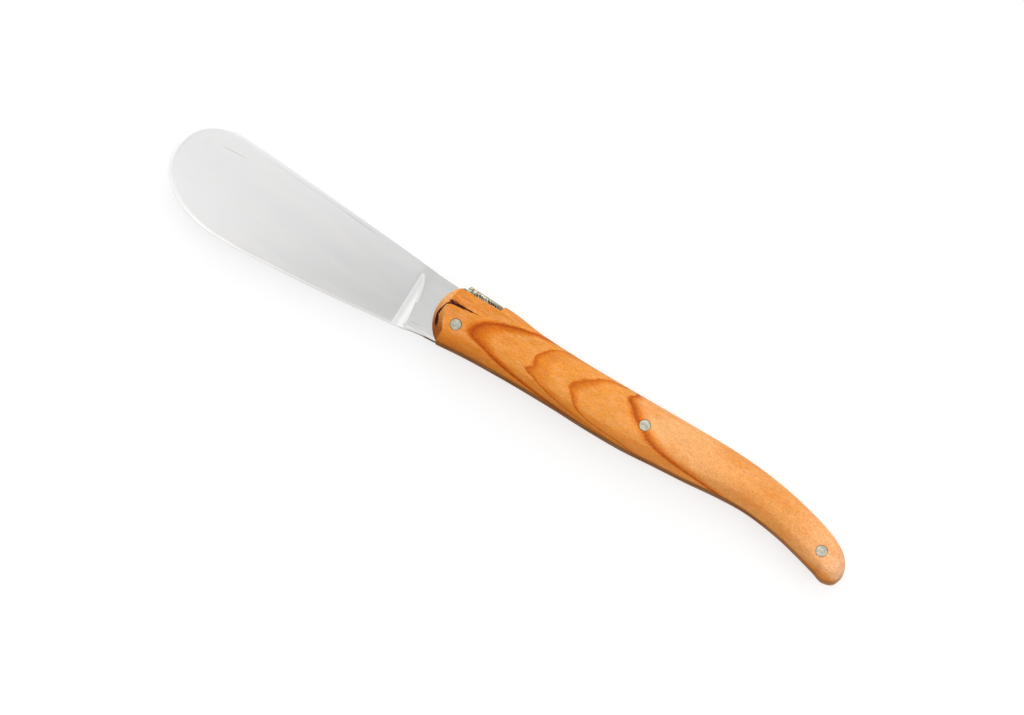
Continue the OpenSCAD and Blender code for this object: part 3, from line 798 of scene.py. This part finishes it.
# A drying crack runs along the middle of the front bevel and turns on to the face.
face_z = 2 * middle_z
crack_places = [(78.6, 4.95, 0.01), (77.3, 4.67, 0.04), (76.2, 4.56, 0.07), (75, 4.34, 0.1),
                (73.9, 4.14, 0.08), (73, 4, 0.05), (72.2, 3.8, 0.06), (71.65, 3.5, 0.08),
                (71.34, 3.2, 0.06), (71.14, 2.66, 0.09), (70.97, 1.95, 0.12), (70.81, 1.24, 0.24),
                (70.75, 0.53, 0.2), (71, -0.16, 0.32), (71.32, -0.82, 0.46), (71.66, -1.56, 0.34),
                (71.92, -2.04, 0.08)]
# A darker red-brown band lies beside the crack where it turns on to the face.
dark_band_places = [(71.7, 4.2, 0.12), (72.4, 4.3, 0.25), (73.2, 4.38, 0.22), (74.2, 4.52, 0.11),
                (75.4, 4.72, 0.06)]
crack_depth_share, crack_lift, crack_halo, dark_band_share = 1.1, 0.4, 0.14, 0.75
crack_reach, crack_gain, crack_most, dark_band_reach, dark_band_most = 1.6, 2.6, 1.3, 1.3, 0.5
crack_steps, dark_band_steps, probe_arcs, lean_share = 16, 8, 33, 6
ring_slope, lower_shift = (0.107, -0.162), (9, 6.5)
crack_line = smooth_line(crack_places, crack_steps)
# The wood is darker beside the belly bevel's crease on the face, as painted shade, and lighter
# on the bevel, as painted light.
face_shade, face_fade, face_slack, bevel_painted_light, bevel_fade = 0.13, 1.7, 0.06, 0.07, 0.8


def lie_on_scale(places):
    """The height of each place on the head's bevel or on the face, and the outward direction. The
    share of the bevel's width is that of the arc which runs through the place."""
    shares = np.linspace(0, 1, probe_arcs)
    arcs = [arc_circle(side_line[-1] + side_step[-1] * share, side_line[0] + side_step[0] * share,
                       between(head_bulge, face_bulge, share)) for share in shares]
    past = np.array([np.linalg.norm(places - centre, axis=1) - radius for centre, radius in arcs])
    share = np.array([np.interp(0, column, shares) for column in past.T])
    out = places - arcs[0][0]
    lean = np.clip((1 - share) * lean_share, 0, 1)[:, None] * bevel_h / front_bevel_w
    normal = out / np.linalg.norm(out, axis=1)[:, None] * lean
    normal = np.hstack([normal, np.ones((len(places), 1))])
    height = scale_t + tang_t + np.interp(share, section[:, 0], section_z)
    return height, normal / np.linalg.norm(normal, axis=1)[:, None]


crack_z, crack_out = lie_on_scale(crack_line[:, :2])
crack_path = np.column_stack([crack_line[:, :2], crack_z])
crack_side = np.cross(np.gradient(crack_path, axis=0), crack_out)
crack_side *= (crack_line[:, 2] / np.linalg.norm(crack_side, axis=1))[:, None]
crack_deep = crack_out * crack_line[:, 2:] * crack_depth_share
crack_cut = np.stack([crack_path + crack_side, crack_path + crack_out * crack_lift,
                      crack_path - crack_side, crack_path - crack_deep], 1)


def dip(off, width):
    """A soft dip about a line: the bell curve exp(-(off / width) squared)."""
    return np.exp(-(off / width) ** 2)


def stored(tree, name):
    """A value that each point of a piece keeps."""
    return node(tree, "ShaderNodeAttribute", attribute_name=name).outputs["Fac"]


def lit(tree, colour, light):
    """A colour made lighter or darker by a factor, within its hue."""
    return node(tree, "ShaderNodeHueSaturation", {"Color": colour, "Value": light}).outputs["Color"]


# The wood is orange, darker along its rings, with fine fibres and pores along the handle, and
# paler towards the tail, with a painted highlight at the tail's end. The head's bevel shows the
# end grain, painted pale at the back and dark at the belly as painted light and shade. The
# belly's bevel is darker and richer in colour, as painted shade, and darker still on its lower
# part; its walls facing the belly are painted dark, as painted shade. A brown ring of painted
# shade lies round each pin.
handle_ends = (-20, 90)
head_stops = [(0, (231, 145, 60)), (0.36, (238, 154, 66)), (0.5, (238, 156, 76))]
# From 0.91 on, the stops grow paler to the tail's end: a painted highlight.
tail_stops = [(0.5, (248, 183, 119)), (0.62, (247, 178, 111)), (0.75, (240, 164, 90)),
              (0.85, (239, 166, 92)), (0.91, (247, 179, 117)), (0.955, (251, 187, 131)),
              (0.99, (254, 196, 150))]
vein_x, amber_x, streak_x, streak_y = (68, 56), (15, 35), (8, -6), (2, 5)
freckle_x, belly_bevel_x, end_shade_y = (30, 60), (30, 55), (-2, 5)
low_shade_in_x, low_shade_out_x, low_shade_tail_x, wood_wall_x = (5, 14), (44, 28), (64, 76), (60, 82)
ring_shade_w, ring_shade_rim_w, ring_shade_share = 0.2, 0.04, 0.3
belly_bevel_tint, low_bevel_tint = (1, 0.87, 0.62, 1), (0.7, 0.66, 0.6, 1)
oil_gloss, wood_relief = 0.06, 0.00001

wood, tree = new_material("figured_wood")
at_x, at_y, at_z = split(tree, place_mm(tree))
facing_x, facing_y, facing_z = facing(tree)
off_middle = distance(tree, at_z, middle_z)
wobble = span(tree, mottle(tree, (0.12, 0.45, 0.45), 3), 0, 1, -0.06, 0.06)
fine_wobble = span(tree, mottle(tree, (2, 4, 4), 3), 0, 1, -0.09, 0.09)
grown = calc(tree, "ADD", stored(tree, "growth"), calc(tree, "ADD", wobble, fine_wobble))
veins = ramp(tree, span(tree, grown, 0, last_ring),
             [(place / last_ring, level) for place, level in vein_stops])
veins = times(tree, veins, span(tree, at_x, *vein_x))
handle_way = span(tree, at_x, *handle_ends)
face = mix(tree, span(tree, grown, 3.97, 4.25), ramp(tree, handle_way, head_stops),
           ramp(tree, handle_way, tail_stops))
blush = span(tree, mottle(tree, (0.35, 0.9, 0.9), 3), 0.45, 0.66)
face = mix(tree, times(tree, blush, 0.35), face, paint(250, 176, 116))
amber = times(tree, span(tree, mottle(tree, (0.1, 0.22, 0.22), 2), 0.5, 0.64, 0, 0.55),
              span(tree, at_x, *amber_x))
face = mix(tree, amber, face, paint(234, 148, 68))
streaks = times(tree, span(tree, mottle(tree, (0.16, 2.6, 2.6), 3, -0.05), 0.48, 0.66),
                span(tree, at_x, *streak_x), span(tree, at_y, *streak_y, 0.15, 0.6))
face = mix(tree, streaks, face, paint(212, 116, 42))
band = mix(tree, span(tree, handle_way, 0.3, 0.5), paint(222, 124, 32), paint(232, 138, 54))
face = mix(tree, span(tree, veins, 0, 0.45), face, band)
face = mix(tree, span(tree, veins, 0.4, 1), face, paint(180, 74, 16))
freckles = times(tree, span(tree, mottle(tree, (2, 2.8, 2.8), 2), 0.48, 0.66),
                 span(tree, at_x, *freckle_x, 0.1, 0.5))
face = mix(tree, freckles, face, paint(222, 132, 64))
fibres = mottle(tree, (0.7, 5, 5), 3)
pores = span(tree, mottle(tree, (1.2, 8, 8), 1), 0.66, 0.76)
light = times(tree, vary(tree, mottle(tree, (0.1, 0.35, 0.35), 3), 0.91, 1.02),
              vary(tree, mottle(tree, (3.2, 4.4, 4.4), 2), 0.85, 1.12),
              vary(tree, fibres, 0.9, 1.08), span(tree, pores, 0, 1, 1, 0.8),
              stored(tree, "crease"))
face = lit(tree, face, light)
on_bevel = span(tree, facing_y, -0.25, -0.5)
# Painted shade on the belly's bevel, darker and richer in colour.
belly_bevel_shade = times(tree, on_bevel, span(tree, at_x, *belly_bevel_x, 1, 0.5))
face = mix(tree, belly_bevel_shade, face, belly_bevel_tint, "MULTIPLY")
# Painted shade on the lower part of the belly's bevel, by the side wall.
low_bevel_shade = calc(tree, "ADD", times(tree, span(tree, at_x, *low_shade_out_x),
                               span(tree, at_x, *low_shade_in_x, 0.75, 1)),
            span(tree, at_x, *low_shade_tail_x, 0, 0.5))
low_bevel_shade = times(tree, on_bevel, times(tree, span(tree, off_middle, 4.8, 2.4), low_bevel_shade))
face = mix(tree, low_bevel_shade, face, low_bevel_tint, "MULTIPLY")
# The end grain on the head's bevel, painted pale at the back and dark at the belly as painted light
# and shade.
end_grain_and_shade = lit(tree, mix(tree, span(tree, at_y, *end_shade_y), paint(136, 66, 20),
                          paint(250, 182, 110)),
                vary(tree, mottle(tree, (2.2, 2.6, 2.2), 3), 0.66, 1.3))
face = mix(tree, times(tree, span(tree, facing_x, -0.2, -0.6), 0.8), face, end_grain_and_shade)
# Painted shade on the walls facing the belly, next to the tang.
wood_wall_shade = times(tree, span(tree, facing_y, -0.6, -0.95), span(tree, off_middle, 2.6, 2.2),
               span(tree, at_x, *wood_wall_x, 0.75, 0.3), vary(tree, fibres, 0.7, 1.1))
face = mix(tree, wood_wall_shade, face, paint(132, 76, 30))
cracked = times(tree, stored(tree, "crack"), vary(tree, mottle(tree, (2, 3, 3), 2), 0.6, 1.2))
face = mix(tree, times(tree, span(tree, cracked, 0.05, 0.5), 0.75), face, paint(158, 66, 26))
face = mix(tree, span(tree, cracked, 0.55, 0.9), face, paint(58, 24, 18))
# A brown ring of painted shade round each pin.
for low, high in map(box_mm, pin_boxes):
    centre, radius = (low + high) / 2 + origin, (high[0] - low[0]) / 2
    off_pin = vector(tree, "DISTANCE", flat_mm(tree), (*centre[:2], 0))["Value"]
    pin_ring_shade = span(tree, off_pin, radius + ring_shade_w, radius + ring_shade_rim_w)
    face = mix(tree, times(tree, pin_ring_shade, ring_shade_share), face, paint(136, 72, 32))
sawn = span(tree, calc(tree, "ABSOLUTE", facing_z), 0.5, 0.2)
rough = calc(tree, "MAXIMUM", vary(tree, fibres, 0.45, 0.55), sawn)
pitted = calc(tree, "SUBTRACT", times(tree, fibres, 0.5), pores)
dress(tree, {"Base Color": face, "Roughness": rough, "Specular IOR Level": oil_gloss,
             "Normal": relief(tree, pitted, wood_relief)})

upper = piece("upper_scale_wood", scale_skin(scale_t + tang_t, 1), wood, "upper_scale",
              [*holes, seat_cut(blade_l - cut_over), crack_cut])
lower = piece("lower_scale_wood", scale_skin(scale_t, -1), wood, "lower_scale",
              [*holes, seat_cut(blade_l - cut_over)])
# Every second point of the crease and of the crack is near enough to measure from.
crease = (side_line + side_step)[2:tail_i:2]
crack_path, crack_wide = crack_path[::2], crack_line[::2, 2]
dark_band = smooth_line(dark_band_places, dark_band_steps)
for made, way_up in ((upper, 1), (lower, -1)):
    places = box_mm(coordinates(made.data))
    off_crease = np.linalg.norm(places[:, None, :2] - crease[None], axis=2).min(1)
    on_face = np.abs(places[:, 2] - middle_z) > middle_z - face_slack
    # The crease value: painted shade on the face, painted light on the bevel.
    mark(made, "crease", np.where(on_face, 1 - face_shade * dip(off_crease, face_fade),
                                  1 + bevel_painted_light * dip(off_crease, bevel_fade)))
    slide = (face_z / 2 * (1 + way_up) - way_up * places[:, 2:]) * ring_slope
    if way_up > 0:
        mark(made, "growth", growth(places[:, :2] + slide))
        off_crack = np.linalg.norm(places[:, None] - crack_path[None], axis=2)
        halo = crack_wide + np.minimum(crack_wide, crack_halo)
        near = (1 - off_crack / halo[None] / crack_reach).max(1)
        off_dark_band = np.linalg.norm(places[:, None, :2] - dark_band[None, :, :2], axis=2)
        near_dark_band = np.clip(dark_band_reach - off_dark_band / dark_band[None, :, 2] / 2, 0, dark_band_most).max(1)
        near = np.maximum(near, dark_band_share * near_dark_band * (places[:, 2] > face_z / 2))
        mark(made, "crack", np.clip(near * crack_gain, 0, crack_most))
    else:
        mark(made, "growth", growth(places[:, :2] * (1, -1) + lower_shift + slide))
        mark(made, "crack", np.zeros(len(places)))

# Pins: three solid rods of drawn metal, pressed through both scales and the tang and peened,
# then ground off a hair below the wood.
pin_profile = [(0, 0), (0.3, 0), (0.6, 0.004), (0.85, 0.012), (0.94, 0.035), (0.98, 0.08),
               (1, 0.17)]
pin_columns, pin_rows = 96, 5
warm_x, warm_tint, metal_relief = (20, 0), (0.84, 0.83, 0.81, 1), 0.000006
profile = smooth_line(pin_profile, pin_rows)
ring = circle(pin_columns)
pin_metal, tree = new_material("pin_metal")
scuffs = mottle(tree, (1, 9, 1), 2, 0.5)
blotches = mottle(tree, (1.4, 2, 1), 3)
metal = mix(tree, span(tree, blotches, 0.38, 0.62), paint(180, 179, 162), paint(216, 215, 198))
metal = mix(tree, span(tree, split(tree, place_mm(tree))[0], *warm_x), metal, warm_tint,
            "MULTIPLY")
dress(tree, {"Base Color": metal, "Roughness": vary(tree, scuffs, 0.28, 0.42), "Metallic": 1,
             "Normal": relief(tree, scuffs, metal_relief)})
for name, (low, high) in zip(pin_names, map(box_mm, pin_boxes)):
    radius, centre = (high[0] - low[0]) / 2, (low + high) / 2
    top, bottom = profile * (radius, -1) + (0, high[2]), profile * (radius, 1) + (0, low[2])
    rows = np.vstack([top, bottom[::-1]])
    skin = np.concatenate([centre[:2] + rows[:, :1, None] * ring[None],
                           np.broadcast_to(rows[:, 1, None, None], (len(rows), pin_columns, 1))], 2)
    piece(f"{name}_rod", skin, pin_metal, name, crisp=40)

# Spine ornament: a small cast bud with a leaf behind it, chased by hand and polished, and
# soldered into its seat on the back of the tang.
ornament_l, ornament_w, ornament_h, seat_gap, end_round = 10.6, 5, 2.3, 0.05, 0.3
length_shares = [(0, 0.3, 0.5), (0.06, 0.34, 0.56), (0.1, 0.42, 0.55), (0.13, 0.6, 0.84),
                 (0.16, 0.72, 0.98), (0.2, 0.74, 1), (0.245, 0.66, 0.95), (0.28, 0.68, 0.94),
                 (0.35, 0.82, 0.93), (0.45, 0.95, 0.91), (0.55, 1, 0.89), (0.66, 0.96, 0.86),
                 (0.78, 0.84, 0.84), (0.9, 0.62, 0.82), (1, 0.4, 0.76)]
along_steps, across_steps, under_rows, shape_steps, fullness = 420, 180, 8, 12, 3.2
end_crowding, deepest = 0.3, 0.2
# The chasing, in millimetres: where the leaf and the bud lie, then the pitch, width and depth of
# the marks.
leaf_start, leaf_end, bud_start, bud_end, flank_share, least_size = 2.9, 9.7, 1.2, 2.5, 0.8, 0.1
dot_pitch, vein_pitch, petal_turn = 0.62, 0.85, math.pi / 4
dot_r, groove_w, rib_w, vein_w, petal_w = 0.23, 0.13, 0.12, 0.1, 0.16
dot_depth, groove_depth, rib_depth, vein_depth = 0.14, 0.12, 0.14, 0.08
petal_depth, neck_depth = 0.09, 0.07
nose_x, nose_share, nose_grey, soot = (-16.5, -16.9), 0.8, paint(84, 90, 100), paint(44, 42, 38)
even = np.linspace(0, 1, along_steps)
u = between(even, (1 - np.cos(math.pi * even)) / 2, end_crowding)
line = smooth_line(length_shares, shape_steps)
half_w = np.interp(u, line[:, 0], line[:, 1]) * ornament_w / 2
top_h = np.interp(u, line[:, 0], line[:, 2]) * ornament_h
from_end = part_way(np.minimum(u, 1 - u) * ornament_l, end_round)
rounded = np.sqrt(1 - (1 - from_end) ** 2)
half_w, top_h = half_w * rounded, top_h * rounded


def off_whole(value):
    """How far a value is from the nearest whole number."""
    return value - np.round(value)


def chased(places):
    """How deep the chasing is at places on the ornament, in millimetres. A row of round punch
    marks and a groove run along each flank, the leaf has a rib with slanting veins on top, and
    the bud has petals. The row of punch marks waves a little, as work by hand does."""
    x = places[..., 0] - seat_front_x - seat_gap
    y = places[..., 1] - seat_height(places[..., 0])
    z = np.abs(places[..., 2] - middle_z)
    half = np.interp(x / ornament_l, u, half_w)
    high = np.interp(x / ornament_l, u, top_h)
    leaf = part_way(x - leaf_start, 0.3) * part_way(leaf_end - x, 0.4)
    flank = part_way(z / np.maximum(half, least_size) - flank_share, 0.1)
    on_top = part_way(y / np.maximum(high, least_size) - flank_share, 0.1)
    dot_x = (x + 0.4 * y + 0.12 * np.sin(2.3 * x) - 3.6) / dot_pitch
    dot_y = 0.95 + 0.12 * np.sin(3.1 * x)
    dots = (0.6 + 0.5 * np.sin(1.7 * x + 0.6) + 0.09 * x) * dip(
        np.hypot(off_whole(dot_x) * dot_pitch, (y - dot_y) * 0.5), dot_r)
    groove = dip(y - 0.9 * high, groove_w)
    rib = dip(z, rib_w)
    slant = (dip(off_whole((x - 0.9 * z) / vein_pitch) * vein_pitch, vein_w)
             * part_way(0.82 * half - z, 0.2))
    bud = part_way(x - bud_start, 0.2) * part_way(bud_end - x, 0.2)
    petals = dip(off_whole(np.arctan2(y, z) / petal_turn), petal_w)
    neck = dip(x - 2.65, 0.1) + dip(x - 0.9, 0.08)
    return (leaf * (flank * (dot_depth * dots + groove_depth * groove)
                    + on_top * (rib_depth * rib + vein_depth * slant))
            + petal_depth * bud * petals + neck_depth * neck)


v = np.linspace(0, math.pi, across_steps)
wide = np.sign(np.cos(v)) * np.abs(np.cos(v)) ** (2 / fullness)
tall = np.sin(v) ** (2 / fullness)
crown_x = seat_front_x + seat_gap + u * ornament_l
crown = np.stack([np.broadcast_to(crown_x[:, None], (along_steps, across_steps)),
                  seat_height(crown_x)[:, None] + top_h[:, None] * tall,
                  middle_z + half_w[:, None] * wide], 2)
out = np.cross(np.gradient(crown, axis=1), np.gradient(crown, axis=0))
out /= np.maximum(np.linalg.norm(out, axis=2, keepdims=True), 1e-9)
out *= np.sign((out[..., 1:2] * tall[None, :, None]).sum())
sunk = crown - out * np.clip(chased(crown), 0, deepest)[..., None]
sunk[:, [0, -1]] = crown[:, [0, -1]]
sunk[[0, -1]] = crown[[0, -1]]
under = between(crown[:, -1:], crown[:, :1], np.linspace(0, 1, under_rows + 1)[1:-1, None])

# The metal is silvery and cloudy, with dirt in the chasing and a darker nose.
chased_metal, tree = new_material("chased_metal")
film = mottle(tree, (0.9, 0.9, 0.9), 3)
grime = times(tree, span(tree, stored(tree, "recess"), 0.03, 0.1),
              span(tree, film, 0.25, 0.6, 0.7, 1))
nose = times(tree, span(tree, split(tree, place_mm(tree))[0], *nose_x), nose_share)
silver = mix(tree, span(tree, film, 0.35, 0.65), paint(146, 142, 116), paint(186, 183, 164))
silver = mix(tree, nose, silver, nose_grey)
dress(tree, {"Base Color": mix(tree, grime, silver, soot), "Metallic": 1,
             "Roughness": vary(tree, mottle(tree, (2, 9, 9), 2), 0.2, 0.34),
             "Normal": relief(tree, mottle(tree, (3, 12, 12), 2), metal_relief)})
ornament = piece("spine_ornament_metal", np.concatenate([sunk, under], 1), chased_metal,
                 "spine_ornament", crisp=60)
mark(ornament, "recess", chased(box_mm(coordinates(ornament.data))))
